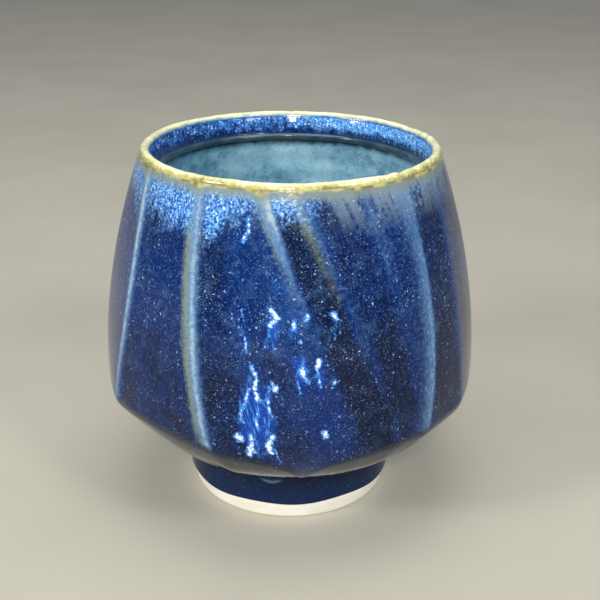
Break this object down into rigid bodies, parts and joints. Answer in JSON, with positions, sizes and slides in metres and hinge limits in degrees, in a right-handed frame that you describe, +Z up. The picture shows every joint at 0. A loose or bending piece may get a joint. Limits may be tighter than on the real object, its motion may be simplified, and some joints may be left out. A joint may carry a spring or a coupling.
{
  "type": "shaving mug",
  "caption": "Handleless faceted ceramic shaving mug: round lip, inner collar ridge, wide belly with a sharp knee, small bare foot ring, cobalt crystal glaze.",
  "frame": {"origin": "centre of the circle that the foot ring stands on, at the bottom of the mug", "axes": "+Z up out of the mouth, -Y towards the front, +X to the right as seen from the front"},
  "size_m": [0.1105, 0.1102, 0.106],
  "materials": {
    "bare_clay": "unglazed, fine and dry",
    "cobalt_glaze": "glossy with pale crystals",
    "honey_glaze": "glossy, thin over the clay",
    "pale_glaze": "satin, cloudy"
  },
  "bodies": {
    "root": {"foot_ring": "bare_clay", "floor_disc": "bare_clay", "lower_wall": "bare_clay", "faceted_wall": "bare_clay", "lip_ring": "honey_glaze", "collar_ridge": "honey_glaze", "wall_glaze": "cobalt_glaze", "underside_glaze": "cobalt_glaze", "foot_glaze": "cobalt_glaze", "collar_glaze": "cobalt_glaze", "liner_glaze": "pale_glaze"}
  },
  "joints": []
}
